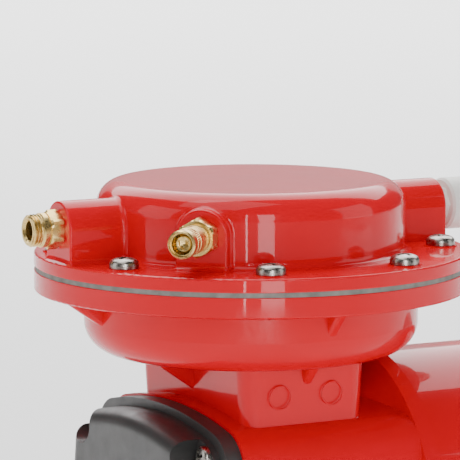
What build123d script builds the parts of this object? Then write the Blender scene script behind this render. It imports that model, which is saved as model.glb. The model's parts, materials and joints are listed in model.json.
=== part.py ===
from build123d import *
import os
from math import cos, radians, sin, sqrt, tan

# Oil-free diaphragm air compressor: a round head on a cast crankcase, driven directly by a motor that
# lies behind it. Millimetres, +Z up. The outlet and the front cover face -Y and the motor lies towards +Y.
# The origin is on the floor, in the middle of the footprint. Names that end in _y are distances behind
# the vertical axis of the head (negative in front of it).

os.makedirs("parts", exist_ok=True)

# ---- Clearances
running_fit = 0.03        # radial, where one piece turns or slides in another
seat_fit = 0.02           # radial, where one piece is held in another
screw_gap = 0.3           # radial, round a screw that passes through
side_gap = 0.4            # between faces that move past each other

# ---- Heights
foot_height = 16.0
rail_thickness = 4.0
axis_over_rails = 72.4    # motor axis above the rails
head_over_axis = 107.6    # middle of the diaphragm above the motor axis

# ---- Head
flange_radius = 90.0
cover_flange = 5.5
bowl_flange = 8.5
rim_break = 0.8
seat_break = 0.3
dome_radius = 64.1
dome_height = 34.7        # from the diaphragm to the top of the dome
dome_edge = 10.4
dome_foot = 2.7
roof_thickness = 5.0
chamber_radius = 59.0
plenum_radius = 55.0
plenum_rib = 4.0
plenum_rib_y = 6.0
plate_screw_x = 30.0
plate_screw_depth = 9.0
plate_screw_spots = [(-plate_screw_x, plenum_rib_y), (plate_screw_x, plenum_rib_y)]
plate_boss_radius = 5.5
head_screw_circle = 79.5
head_screw_count = 8
pad_radius = 6.9
pad_height = 0.5

# ---- Ports
port_over_diaphragm = 20.0
outlet_boss_reach = 88.0
intake_boss_reach = 88.0
relief_boss_reach = 68.0
boss_half_width = 11.3
relief_boss_half_width = 10.7
boss_fillet = 2.2
port_thread_radius = 6.58
port_thread_depth = 11.0
port_bore = 4.0
fitting_hex = 14.0
outlet_hex_length = 5.7
outlet_collar_radius = 7.0
outlet_collar_length = 3.0
outlet_thread_radius = 6.58
outlet_thread_length = 4.8
relief_hex_length = 7.0
relief_body_radius = 5.75
relief_length = 26.0
relief_bore = 4.25
relief_seat_radius = 2.0
relief_ball_radius = 3.0
relief_vent_radius = 1.0
relief_vent_place = 9.5
adjuster_length = 5.0
adjuster_recess = 3.0
adjuster_socket = 4.0
spring_seat_thickness = 2.0
spring_wire = 0.45
spring_turns = 5
intake_cup_radius = 11.0
intake_cup_length = 16.0
intake_hex_length = 4.0
intake_wall = 1.5

# ---- Diaphragm and valves
diaphragm_thickness = 2.0
diaphragm_inset = 0.4
clamp_plate_radius = 44.0
upper_plate_thickness = 2.5
lower_plate_thickness = 3.5
valve_plate_thickness = 5.0
chamber_height = 6.5      # clamped diaphragm to valve plate
valve_port_radius = 4.0
valve_port_pitch = 13.0
valve_row_y = 27.0        # valve ports from the head axis, discharge in front and suction behind
reed_thickness = 0.4
reed_root_y = 10.0
reed_rivet_y = 13.5
reed_overlap = 3.0        # past the edge of the ports
reed_stop_thickness = 1.2
reed_stop_rise = 1.8
rivet_x = 10.0
rivet_radius = 1.5
rivet_head_radius = 2.8
rivet_head = 0.8
diaphragm_screw_radius = 4.0
diaphragm_screw_head = 7.0
diaphragm_screw_depth = 20.0

# ---- Crankcase
bowl_radius = 69.5
bowl_depth = 34.5         # below the diaphragm
bowl_edge = 13.0
bowl_wall = 6.0
neck_half_x = 49.4
neck_half_y = 29.0
neck_corner = 8.5
neck_draft = 3.3
neck_top_drop = 30.0      # start of the neck below the middle of the diaphragm
neck_wall = 6.5
gusset_thickness = 5.0
front_gusset_reach = 87.0
front_gusset_drop = 50.0
side_gusset_reach = 80.0
side_gusset_drop = 43.0
housing_half_width = 63.0
housing_top = 53.4        # above the motor axis
housing_bottom = 58.0
housing_bulge = 8.0
housing_corner = 17.0
rim_y = -35.0
flare_start_y = 26.0
flare_radius = 52.5
crankcase_flange_y = 47.0
crankcase_rear_y = 54.0
crankcase_flange_radius = 71.0
bearing_wall_y = 20.0
cast_foot_thickness = 8.0
cast_foot_y = (-20.0, 28.0)
crankcase_bolt_y = (-9.0, 17.0)
crank_hollow_radius = 47.0
cover_screw_depth = 24.0
spigot_length = 3.0
tie_bolt_depth = 13.0

# ---- Front cover
cover_lip_depth = 7.0
cover_depth = 22.0
cover_lip_inset = 1.0
cover_body_inset = 4.5
cover_wall = 3.0
cover_edge = 7.0
cover_screw_x = 46.0
cover_screw_z = 38.0
cover_pocket_radius = 8.6
cover_pocket_floor = 10.0

# ---- Crank and rod
crank_throw = 2.0
rod_bearing_bore = 12.5
rod_bearing_outer = 26.0
rod_bearing_width = 15.0
rod_eye_radius = 32.0
rod_width = 16.0
rod_top_radius = 16.0
rod_top_thickness = 5.0
rod_web = 6.0
rod_flange_width = 22.0
counterweight_radius = 40.0
counterweight_thickness = 8.0
shaft_nose = 7.5

# ---- Motor
front_bearing_bore = 8.5
front_bearing_outer = 20.0
front_bearing_width = 12.0
front_bearing_y = 27.0
rear_bearing_bore = 7.5
rear_bearing_outer = 17.5
rear_bearing_width = 11.0
tube_radius = 66.7
tube_wall = 3.0
tube_length = 88.0
stator_y = 68.0
stator_length = 60.0
stator_bore = 36.0
air_gap = 0.5
slot_count = 24
slot_radius = 3.6
slot_circle = 45.0
winding_overhang = 11.0
winding_inner = 38.5
winding_outer = 51.5
tie_bolt_circle = 59.6
motor_hollow_radius = 54.0
cage_bar_count = 17
shield_thickness = 8.0
fan_radius = 48.0
fan_width = 12.0
fan_blades = 9
rear_cap_depth = 52.0
rear_cap_wall = 3.0
rear_cap_edge = 9.0
capacitor_radius = 14.0
capacitor_length = 56.0
capacitor_drop = 30.0
cradle_spacing = 36.0
switch_rise = 24.0

fan_bore = 6.0
fan_hub_radius = 12.0
cage_bar_radius = 2.0
cage_ring_length = 7.0
collar_radius = 16.0
shield_vent_circle = 38.0
shield_vent_radius = 8.0
cap_screw_circle = 57.0
cap_column_radius = 6.4
cap_screw_well = 30.0
cap_slot_count = 15
cap_slot_start = -22.5
cap_slot_step = 15.0
cap_slot_width = 3.0
cap_slot_length = 20.0
switch_width = 27.0
switch_height = 20.0
switch_recess = 3.0
switch_body_depth = 14.0
rocker_pivot_depth = 2.0
rocker_half_height = 6.0
rocker_tilt = 8.0
gland_pad_radius = 12.0
gland_thread_radius = 8.0
gland_bore = 3.6

# ---- Base
rail_spacing = 116.0
rail_width = 28.0
rail_y = (-50.0, 168.0)
foot_y = (-37.0, 155.0)
foot_top_radius = 15.0
foot_bottom_radius = 12.5
saddle_y = 104.0
saddle_width = 26.0
saddle_half_width = 44.0
foot_well = 6.0

# ---- Fasteners: (shank radius, head radius, head height)
m6_pan = (3.0, 6.0, 4.3)
m5_pan = (2.5, 4.8, 3.4)
m4_pan = (2.0, 4.0, 2.8)
m6_hex_across = 10.0
m6_hex_head = 4.0
m6_nut_height = 5.0
screw_end = 1.4           # stands out beyond the nut or thread

# ---- Levels and stations worked out from the sizes above
motor_z = foot_height + rail_thickness + axis_over_rails
diaphragm_z = motor_z + head_over_axis
clamp_top = diaphragm_z + diaphragm_thickness / 2
clamp_bottom = diaphragm_z - diaphragm_thickness / 2
cover_flange_top = clamp_top + cover_flange
bowl_flange_bottom = clamp_bottom - bowl_flange
dome_top = clamp_top + dome_height
port_z = diaphragm_z + port_over_diaphragm
valve_plate_z = clamp_top + chamber_height
plenum_z = valve_plate_z + valve_plate_thickness
tube_end_y = crankcase_rear_y + tube_length
shield_end_y = tube_end_y + shield_thickness
rear_end_y = shield_end_y + rear_cap_depth
outlet_end = outlet_boss_reach + outlet_hex_length + outlet_collar_length + outlet_thread_length
head_y = (outlet_end - rear_end_y) / 2
crank_pin_z = motor_z + crank_throw
rail_top = foot_height + rail_thickness

head_axis = Axis((0, head_y, 0), (0, 0, 1))


def level(height, shift_x=0.0, shift_y=0.0):
    """Horizontal plane whose centre is on the head axis, or shifted from it."""
    return Plane((shift_x, head_y + shift_y, height))


def station(distance, heading=0.0):
    """Upright plane across the motor axis. Its normal is +Y and its local x starts at -X."""
    across, up = cos(radians(heading)), sin(radians(heading))
    return Plane((0, head_y + distance, motor_z), x_dir=(-across, 0, up), z_dir=(0, 1, 0))


def port(angle, reach):
    """Plane across a port of the head, whose normal points outwards and whose local y is up."""
    across, along = cos(radians(angle)), sin(radians(angle))
    centre = (reach * across, head_y + reach * along, port_z)
    return Plane(centre, x_dir=(-along, across, 0), z_dir=(across, along, 0))


head_section = Plane((0, head_y, 0), x_dir=(1, 0, 0), z_dir=(0, -1, 0))
outlet_angle, intake_angle, relief_angle = -90.0, 90.0, -45.0


def half_profile(points, radii=None):
    """Face bounded by the points, closed back to the first, with its inner corners rounded if asked."""
    with BuildLine() as outline:
        if radii:
            FilletPolyline(*points, radius=radii)
        else:
            Polyline(*points)
        Line(points[-1], points[0])
    make_face(outline.edges())


def housing_outline(inset):
    """Rounded square with bowed sides about the motor axis, the section of the crankcase and its cover."""
    half = housing_half_width - inset
    top, bottom = housing_top - inset, housing_bottom - inset
    side = half - housing_bulge / 2
    with BuildLine() as outline:
        ThreePointArc((-side, top - housing_bulge), (0, top), (side, top - housing_bulge))
        ThreePointArc((side, top - housing_bulge), (half, 0), (side, -bottom + housing_bulge))
        ThreePointArc((side, -bottom + housing_bulge), (0, -bottom), (-side, -bottom + housing_bulge))
        ThreePointArc((-side, -bottom + housing_bulge), (-half, 0), (-side, top - housing_bulge))
    make_face(outline.edges())


def axial_section(plane):
    """Half section of a piece turned about the plane's normal: local x is radius, local y is distance."""
    return Plane(plane.origin, x_dir=plane.x_dir, z_dir=-plane.y_dir)


def turn(plane, points, mode=Mode.ADD):
    """Turn a profile of (radius, distance) points about the plane's normal, in the current part."""
    with BuildSketch(axial_section(plane)) as profile:
        half_profile(points)
    revolve(profile.sketch, axis=Axis(plane.origin, plane.z_dir), mode=mode)


def ring(plane, inner, outer, length, mode=Mode.ADD):
    """Tube or disc of a given length along the plane's normal, in the current part."""
    with BuildSketch(plane) as section:
        Circle(outer)
        if inner:
            Circle(inner, mode=Mode.SUBTRACT)
    extrude(section.sketch, amount=length, mode=mode)


def polar_spots(radius, count, start_angle=0.0):
    """Points on a circle."""
    angles = [radians(start_angle + number * 360 / count) for number in range(count)]
    return [(radius * cos(angle), radius * sin(angle)) for angle in angles]


# ======== Head cover: flanged dome with three port bosses
dome_points = [
    (0, dome_top),
    (dome_radius, dome_top),
    (dome_radius, cover_flange_top),
    (flange_radius, cover_flange_top),
    (flange_radius, clamp_top),
    (0, clamp_top),
]
boss_specs = (
    (outlet_angle, outlet_boss_reach, boss_half_width),
    (intake_angle, intake_boss_reach, boss_half_width),
    (relief_angle, relief_boss_reach, relief_boss_half_width),
)
boss_root = dome_radius - dome_edge
first_screw_angle = 180 / head_screw_count

bosses = []
for angle, reach, half_width in boss_specs:
    mouth_plane = port(angle, reach)
    with BuildPart() as boss:
        with BuildSketch(mouth_plane):
            Circle(half_width)
            Rectangle(2 * half_width, port_z - cover_flange_top + 1, align=(Align.CENTER, Align.MAX))
        extrude(amount=-(reach - boss_root))
        mouth = boss.faces().sort_by_distance(mouth_plane.origin)[0]
        fillet(mouth.edges().sort_by(Axis.Z)[1:], rim_break)
    bosses.append(boss.part)

with BuildPart() as head_cover:
    with BuildSketch(head_section):
        half_profile(dome_points, [dome_edge, dome_foot, rim_break, seat_break])
    revolve(axis=head_axis)
    for (angle, reach, _), boss_shape in zip(boss_specs, bosses):
        mouth_plane = port(angle, reach)
        add(boss_shape)
        root_edges = [
            edge
            for edge in head_cover.edges(Select.LAST)
            if mouth_plane.to_local_coords(edge.center()).Z < -1.5 * rim_break
            and edge.length < dome_radius
        ]
        fillet(root_edges, boss_fillet)
    with BuildSketch(level(cover_flange_top)):
        with PolarLocations(head_screw_circle, head_screw_count, start_angle=first_screw_angle):
            Circle(pad_radius)
    extrude(amount=pad_height, taper=20)
    with BuildSketch(level(clamp_top)):
        Circle(chamber_radius)
    extrude(amount=plenum_z - clamp_top, mode=Mode.SUBTRACT)
    with BuildSketch(level(plenum_z)):
        Circle(plenum_radius)
        with Locations((0, plenum_rib_y)):
            Rectangle(2 * plenum_radius, plenum_rib, mode=Mode.SUBTRACT)
        with Locations(*plate_screw_spots):
            Circle(plate_boss_radius, mode=Mode.SUBTRACT)
    extrude(amount=dome_top - roof_thickness - plenum_z, mode=Mode.SUBTRACT)
    with BuildSketch(level(plenum_z)):
        with Locations(*plate_screw_spots):
            Circle(m4_pan[0] + seat_fit)
    extrude(amount=plate_screw_depth, mode=Mode.SUBTRACT)
    for angle, reach, _ in boss_specs:
        with BuildSketch(port(angle, reach)):
            Circle(port_thread_radius + seat_fit)
        extrude(amount=-port_thread_depth, mode=Mode.SUBTRACT)
        with BuildSketch(port(angle, reach)):
            Circle(port_bore)
        extrude(amount=-(reach - boss_root), mode=Mode.SUBTRACT)
    with BuildSketch(level(clamp_top)):
        with PolarLocations(head_screw_circle, head_screw_count, start_angle=first_screw_angle):
            Circle(m6_pan[0] + screw_gap)
    extrude(amount=cover_flange + 2 * pad_height, mode=Mode.SUBTRACT)


# ======== Valve plate with a discharge row of ports in front and a suction row behind
port_row = [(-valve_port_pitch, 0), (0, 0), (valve_port_pitch, 0)]
csk_head_height = m4_pan[1] - m4_pan[0]

with BuildPart() as valve_plate:
    with BuildSketch(level(valve_plate_z)):
        Circle(chamber_radius - seat_fit)
        for row in (-valve_row_y, valve_row_y):
            with Locations(*[(x, row) for x, _ in port_row]):
                Circle(valve_port_radius, mode=Mode.SUBTRACT)
        for side in (-1, 1):
            with Locations((-rivet_x, side * reed_rivet_y), (rivet_x, side * reed_rivet_y)):
                Circle(rivet_radius + seat_fit, mode=Mode.SUBTRACT)
        with Locations(*plate_screw_spots):
            Circle(m4_pan[0] + screw_gap, mode=Mode.SUBTRACT)
    extrude(amount=valve_plate_thickness)
    with BuildSketch(level(valve_plate_z)):
        with Locations(*plate_screw_spots):
            Circle(m4_pan[1] + seat_fit)
    extrude(amount=csk_head_height, taper=45, mode=Mode.SUBTRACT)

with BuildPart() as valve_plate_screws:
    for x, y in plate_screw_spots:
        turn(
            level(valve_plate_z, x, y),
            [
                (0, 0),
                (m4_pan[1] - seat_fit, 0),
                (m4_pan[0] - seat_fit, csk_head_height),
                (m4_pan[0] - seat_fit, valve_plate_thickness + plate_screw_depth - 1),
                (0, valve_plate_thickness + plate_screw_depth - 1),
            ],
        )
        with BuildSketch(level(valve_plate_z, x, y)):
            Rectangle(2 * m4_pan[1] - 3, 1)
            Rectangle(1, 2 * m4_pan[1] - 3)
        extrude(amount=1.2, mode=Mode.SUBTRACT)

reed_tip_y = valve_row_y + valve_port_radius + reed_overlap
reed_half_width = valve_port_pitch + valve_port_radius + 1
reeds = {}
for reed_name, side, base in (
    ("inlet_reed", 1, valve_plate_z - reed_thickness),
    ("outlet_reed", -1, plenum_z),
):
    middle = side * (reed_root_y + reed_tip_y) / 2
    with BuildPart() as reed:
        with BuildSketch(level(base, shift_y=middle)):
            RectangleRounded(2 * reed_half_width, reed_tip_y - reed_root_y, 3)
            with Locations(*[(x, side * reed_rivet_y - middle) for x in (-rivet_x, rivet_x)]):
                Circle(rivet_radius + seat_fit, mode=Mode.SUBTRACT)
        extrude(amount=reed_thickness)
    reeds[reed_name] = reed

stop_bend_y = reed_rivet_y + rivet_head_radius + 1
stop_base = plenum_z + reed_thickness
with BuildPart() as reed_stop:
    with BuildSketch(Plane((0, head_y, stop_base), x_dir=(0, -1, 0), z_dir=(-1, 0, 0))):
        half_profile(
            [
                (reed_root_y, 0),
                (stop_bend_y, 0),
                (reed_tip_y, reed_stop_rise),
                (reed_tip_y, reed_stop_rise + reed_stop_thickness),
                (stop_bend_y, reed_stop_thickness),
                (reed_root_y, reed_stop_thickness),
            ]
        )
    extrude(amount=reed_half_width - 3, both=True)
    with BuildSketch(level(stop_base)):
        with Locations((-rivet_x, -reed_rivet_y), (rivet_x, -reed_rivet_y)):
            Circle(rivet_radius + seat_fit)
    extrude(amount=reed_stop_thickness, mode=Mode.SUBTRACT)

with BuildPart() as reed_rivets:
    for side, bottom, top in (
        (1, valve_plate_z - reed_thickness, plenum_z),
        (-1, valve_plate_z, stop_base + reed_stop_thickness),
    ):
        for x in (-rivet_x, rivet_x):
            turn(
                level(bottom, x, side * reed_rivet_y),
                [
                    (0, -rivet_head),
                    (rivet_head_radius - 0.5, -rivet_head),
                    (rivet_head_radius, 0),
                    (rivet_radius, 0),
                    (rivet_radius, top - bottom),
                    (rivet_head_radius, top - bottom),
                    (rivet_head_radius - 0.5, top - bottom + rivet_head),
                    (0, top - bottom + rivet_head),
                ],
            )


# ======== Diaphragm, shown at the top of its stroke, with its clamp plates and centre screw
flex_start = clamp_plate_radius + 2
flex_end = chamber_radius - 2
half_rubber = diaphragm_thickness / 2
with BuildPart() as diaphragm:
    turn(
        level(diaphragm_z),
        [
            (diaphragm_screw_radius + screw_gap, crank_throw - half_rubber),
            (flex_start, crank_throw - half_rubber),
            (flex_end, -half_rubber),
            (flange_radius - diaphragm_inset, -half_rubber),
            (flange_radius - diaphragm_inset, half_rubber),
            (flex_end, half_rubber),
            (flex_start, crank_throw + half_rubber),
            (diaphragm_screw_radius + screw_gap, crank_throw + half_rubber),
        ],
    )
    with BuildSketch(level(clamp_bottom)):
        with PolarLocations(head_screw_circle, head_screw_count, start_angle=first_screw_angle):
            Circle(m6_pan[0] + screw_gap)
    extrude(amount=diaphragm_thickness, mode=Mode.SUBTRACT)

upper_plate_z = clamp_top + crank_throw
lower_plate_z = clamp_bottom + crank_throw - lower_plate_thickness
with BuildPart() as diaphragm_upper_plate:
    turn(
        level(upper_plate_z),
        [
            (diaphragm_screw_radius + screw_gap, 0),
            (clamp_plate_radius, 0),
            (clamp_plate_radius, upper_plate_thickness - 1),
            (clamp_plate_radius - 1, upper_plate_thickness),
            (diaphragm_screw_head + seat_fit, upper_plate_thickness),
        ],
    )

with BuildPart() as diaphragm_lower_plate:
    turn(
        level(lower_plate_z),
        [
            (diaphragm_screw_radius + screw_gap, 0),
            (clamp_plate_radius - 3, 0),
            (clamp_plate_radius, 2),
            (clamp_plate_radius, lower_plate_thickness),
            (diaphragm_screw_radius + screw_gap, lower_plate_thickness),
        ],
    )

screw_reach = upper_plate_thickness + diaphragm_thickness + lower_plate_thickness + diaphragm_screw_depth
with BuildPart() as diaphragm_screw:
    turn(
        level(upper_plate_z + upper_plate_thickness),
        [
            (0, 0),
            (diaphragm_screw_head, 0),
            (diaphragm_screw_radius, -upper_plate_thickness + 0.1),
            (diaphragm_screw_radius, 1 - screw_reach),
            (diaphragm_screw_radius - 1, -screw_reach),
            (0, -screw_reach),
        ],
    )
    with BuildSketch(level(upper_plate_z + upper_plate_thickness)):
        RegularPolygon(2.5, 6, major_radius=False)
    extrude(amount=-1.8, mode=Mode.SUBTRACT)


# ======== Head screws: pan heads with a cross recess
def pan_screw(plane, size, length):
    """Add a pan head screw. The plane is under the head and its normal points out of the head."""
    shank, head, height = size
    turn(
        plane,
        [
            (0, height),
            (0.45 * head, 0.93 * height),
            (0.8 * head, 0.68 * height),
            (head, 0.3 * height),
            (head, 0),
            (shank, 0),
            (shank, 0.5 - length),
            (shank - 0.5, -length),
            (0, -length),
        ],
    )
    with BuildSketch(plane.offset(height)) as recess:
        Rectangle(1.1 * head, 0.2 * head)
        Rectangle(0.2 * head, 1.1 * head)
    extrude(recess.sketch, amount=-0.55 * height, taper=8, mode=Mode.SUBTRACT)


head_screw_length = pad_height + cover_flange + diaphragm_thickness + bowl_flange + screw_end
with BuildPart() as head_screws:
    for number in range(head_screw_count):
        turn_angle = radians(first_screw_angle + number * 360 / head_screw_count)
        across, along = head_screw_circle * cos(turn_angle), head_screw_circle * sin(turn_angle)
        pan_screw(level(cover_flange_top + pad_height, across, along), m6_pan, head_screw_length)


# ======== Outlet fitting
def hex_block(plane, across, height, bevel=0.7):
    """Hexagon prism along the plane's normal, with its corners turned off at both ends."""
    corner = across / sqrt(3)
    with BuildPart() as block:
        with BuildSketch(plane):
            RegularPolygon(across / 2, 6, major_radius=False)
        extrude(amount=height)
        turn(
            plane,
            [
                (0, 0),
                (across / 2, 0),
                (corner, bevel),
                (corner, height - bevel),
                (across / 2, height),
                (0, height),
            ],
            mode=Mode.INTERSECT,
        )
    return block.part


outlet_face = port(outlet_angle, outlet_boss_reach)
outlet_thread_start = outlet_hex_length + outlet_collar_length
outlet_length = outlet_thread_start + outlet_thread_length
outlet_stub = port_thread_depth - 1
with BuildPart() as outlet_fitting:
    add(hex_block(outlet_face, fitting_hex, outlet_hex_length))
    turn(
        outlet_face,
        [
            (0, -outlet_stub),
            (port_thread_radius, -outlet_stub),
            (port_thread_radius, 0),
            (outlet_collar_radius, 0),
            (outlet_collar_radius, outlet_thread_start),
            (outlet_thread_radius, outlet_thread_start),
            (outlet_thread_radius, outlet_length),
            (0, outlet_length),
        ],
    )
    turn(
        outlet_face,
        [
            (0, -outlet_stub),
            (port_bore, -outlet_stub),
            (port_bore, outlet_length - 1),
            (port_bore + 0.8, outlet_length),
            (0, outlet_length),
        ],
        mode=Mode.SUBTRACT,
    )


# ======== Relief valve: body, ball, spring, spring seat and threaded adjuster
relief_face = port(relief_angle, relief_boss_reach)
relief_stub = port_thread_depth - 1
ball_centre = 3.0         # from the boss face
ball_touch = sqrt(relief_ball_radius**2 - relief_seat_radius**2)
seat_cone = relief_bore - relief_seat_radius
adjuster_start = relief_length - adjuster_recess - adjuster_length
spring_seat_start = adjuster_start - spring_seat_thickness
spring_start = ball_centre + relief_ball_radius
with BuildPart() as relief_valve_body:
    add(hex_block(relief_face, fitting_hex, relief_hex_length))
    turn(
        relief_face,
        [
            (0, -relief_stub),
            (port_thread_radius, -relief_stub),
            (port_thread_radius, 0),
            (relief_body_radius, 0),
            (relief_body_radius, relief_length - 0.6),
            (relief_body_radius - 0.6, relief_length),
            (0, relief_length),
        ],
    )
    turn(
        relief_face,
        [
            (0, -relief_stub),
            (relief_seat_radius, -relief_stub),
            (relief_seat_radius, ball_centre - ball_touch),
            (relief_bore, ball_centre - ball_touch + seat_cone),
            (relief_bore, relief_length),
            (0, relief_length),
        ],
        mode=Mode.SUBTRACT,
    )
    vent_centre = relief_face.offset(relief_vent_place).origin
    for across in (relief_face.x_dir, relief_face.y_dir):
        with BuildSketch(Plane(vent_centre, z_dir=across)):
            Circle(relief_vent_radius)
        extrude(amount=2 * relief_body_radius, both=True, mode=Mode.SUBTRACT)

ball_plane = relief_face.offset(ball_centre)
free_ball_radius = relief_ball_radius - running_fit
with BuildPart() as relief_ball:
    with BuildSketch(axial_section(ball_plane)):
        Circle(free_ball_radius)
        Rectangle(
            relief_ball_radius, 2 * relief_ball_radius, align=(Align.MIN, Align.CENTER), mode=Mode.INTERSECT
        )
    revolve(axis=Axis(ball_plane.origin, ball_plane.z_dir))

spring_radius = relief_bore - spring_wire - 0.4
spring_length = spring_seat_start - spring_start
with BuildPart() as relief_spring:
    with BuildLine() as coil:
        Helix(
            pitch=(spring_length - 2 * spring_wire) / spring_turns,
            height=spring_length - 2 * spring_wire,
            radius=spring_radius,
            center=relief_face.offset(spring_start + spring_wire).origin,
            direction=relief_face.z_dir,
        )
    with BuildSketch(Plane(coil.line @ 0, z_dir=coil.line % 0)):
        Circle(spring_wire - 0.05)
    sweep(path=coil.line)

with BuildPart() as relief_spring_seat:
    turn(
        relief_face.offset(spring_seat_start),
        [
            (0, 0),
            (relief_bore - 0.15, 0),
            (relief_bore - 0.15, spring_seat_thickness - 0.5),
            (1.5, spring_seat_thickness),
            (0, spring_seat_thickness),
        ],
    )

with BuildPart() as relief_adjuster:
    ring(relief_face.offset(adjuster_start), 0, relief_bore - running_fit, adjuster_length)
    with BuildSketch(relief_face.offset(adjuster_start + adjuster_length)):
        RegularPolygon(adjuster_socket / 2, 6, major_radius=False)
    extrude(amount=-0.7 * adjuster_length, mode=Mode.SUBTRACT)


# ======== Intake filter: slotted cup with a felt disc
intake_face = port(intake_angle, intake_boss_reach)
intake_stub = port_thread_depth - 1
cup_start = intake_hex_length
felt_radius = intake_cup_radius - intake_wall
with BuildPart() as intake_filter_cup:
    add(hex_block(intake_face, fitting_hex, intake_hex_length + 1))
    turn(
        intake_face,
        [
            (0, -intake_stub),
            (port_thread_radius, -intake_stub),
            (port_thread_radius, 0),
            (port_bore + 1, 0),
            (port_bore + 1, cup_start),
            (intake_cup_radius - 1, cup_start),
            (intake_cup_radius, cup_start + 1),
            (intake_cup_radius, cup_start + intake_cup_length - 2),
            (intake_cup_radius - 2, cup_start + intake_cup_length),
            (0, cup_start + intake_cup_length),
        ],
    )
    turn(
        intake_face,
        [
            (0, -intake_stub),
            (port_bore, -intake_stub),
            (port_bore, cup_start + intake_wall),
            (felt_radius, cup_start + intake_wall),
            (felt_radius, cup_start + intake_cup_length - intake_wall),
            (0, cup_start + intake_cup_length - intake_wall),
        ],
        mode=Mode.SUBTRACT,
    )
    with BuildSketch(intake_face.offset(cup_start + intake_cup_length)):
        with PolarLocations(0.55 * felt_radius, 6):
            SlotOverall(0.7 * felt_radius, 1.6)
    extrude(amount=-2 * intake_wall, mode=Mode.SUBTRACT)

with BuildPart() as intake_felt:
    ring(
        intake_face.offset(cup_start + intake_wall + 2),
        0,
        felt_radius - seat_fit,
        intake_cup_length - 2 * intake_wall - 2,
    )


# ======== Crankcase: bowl, neck, gussets, housing, flared rear flange and feet in one casting
bowl_points = [
    (0, diaphragm_z - bowl_depth - 1),
    (bowl_radius, diaphragm_z - bowl_depth - 1),
    (bowl_radius, bowl_flange_bottom),
    (flange_radius, bowl_flange_bottom),
    (flange_radius, clamp_bottom),
    (0, clamp_bottom),
]
bowl_floor = diaphragm_z - bowl_depth - 1 + bowl_wall
bowl_hollow = [
    (0, diaphragm_z),
    (chamber_radius, diaphragm_z),
    (chamber_radius, bowl_floor),
    (0, bowl_floor),
]
neck_top = diaphragm_z - neck_top_drop
neck_length = neck_top - motor_z - housing_top + housing_bulge
neck_draft_slope = tan(radians(neck_draft))


def neck_half(half_width, drop):
    """Half width of the drafted neck at a distance below the middle of the diaphragm."""
    return half_width - (drop - neck_top_drop) * neck_draft_slope


def gusset(half_width, reach, drop, across):
    """Triangular web from under the flange down to the neck, on a vertical plane through the head axis."""
    tip = neck_half(half_width, drop)
    outline = [
        (tip - 4, diaphragm_z - drop - 2),
        (tip, diaphragm_z - drop),
        (reach, bowl_flange_bottom + 0.5),
        (tip - 4, bowl_flange_bottom + 0.5),
    ]
    with BuildPart() as web:
        with BuildSketch(across):
            half_profile(outline)
        extrude(amount=gusset_thickness / 2, both=True)
        slope = web.faces().sort_by(lambda face: face.normal_at().dot(across.x_dir) - face.normal_at().Z)[-1]
        long_edges = slope.edges().sort_by(SortBy.LENGTH)[-2:]
        fillet(long_edges, gusset_thickness / 2 - 0.6)
    return web.part


gussets = []
for half_width, reach, drop, heading in (
    (neck_half_y, front_gusset_reach, front_gusset_drop, (0, -1, 0)),
    (neck_half_y, front_gusset_reach, front_gusset_drop, (0, 1, 0)),
    (neck_half_x, side_gusset_reach, side_gusset_drop, (1, 0, 0)),
    (neck_half_x, side_gusset_reach, side_gusset_drop, (-1, 0, 0)),
):
    upright = Plane((0, head_y, 0), x_dir=heading, z_dir=Vector(heading).cross(Vector(0, 0, 1)))
    gussets.append(gusset(half_width, reach, drop, upright))

cover_screw_spots = [(x * cover_screw_x, z * cover_screw_z) for x in (-1, 1) for z in (-1, 1)]
tie_bolt_spots = polar_spots(tie_bolt_circle, 4)
cap_screw_spots = polar_spots(cap_screw_circle, 4, 45)
crankcase_bolt_spots = [(x * rail_spacing / 2, y) for x in (-1, 1) for y in crankcase_bolt_y]
foot_length = cast_foot_y[1] - cast_foot_y[0]
pad_half_span = (rail_spacing + rail_width) / 2
pad_inner_x = (rail_spacing - rail_width) / 2 + 4
flare_centre = flare_radius + (
    (crankcase_flange_y - flare_start_y) ** 2 + (crankcase_flange_radius - flare_radius) ** 2
) / (2 * (crankcase_flange_radius - flare_radius))
flare_bend = flare_centre - flare_radius
flare_middle_y = flare_start_y + flare_bend * sin(radians(45))
flare_middle_radius = flare_centre - flare_bend * cos(radians(45))


def cradle_profile(top_half_width, top_height):
    """Foot pads on both rails joined by a raised block, in a section across the motor axis."""
    pad_top = rail_top + cast_foot_thickness - motor_z
    half_profile(
        [
            (-pad_half_span, rail_top - motor_z),
            (pad_half_span, rail_top - motor_z),
            (pad_half_span, pad_top),
            (pad_inner_x, pad_top),
            (top_half_width, top_height),
            (-top_half_width, top_height),
            (-pad_inner_x, pad_top),
            (-pad_half_span, pad_top),
        ]
    )


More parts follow.
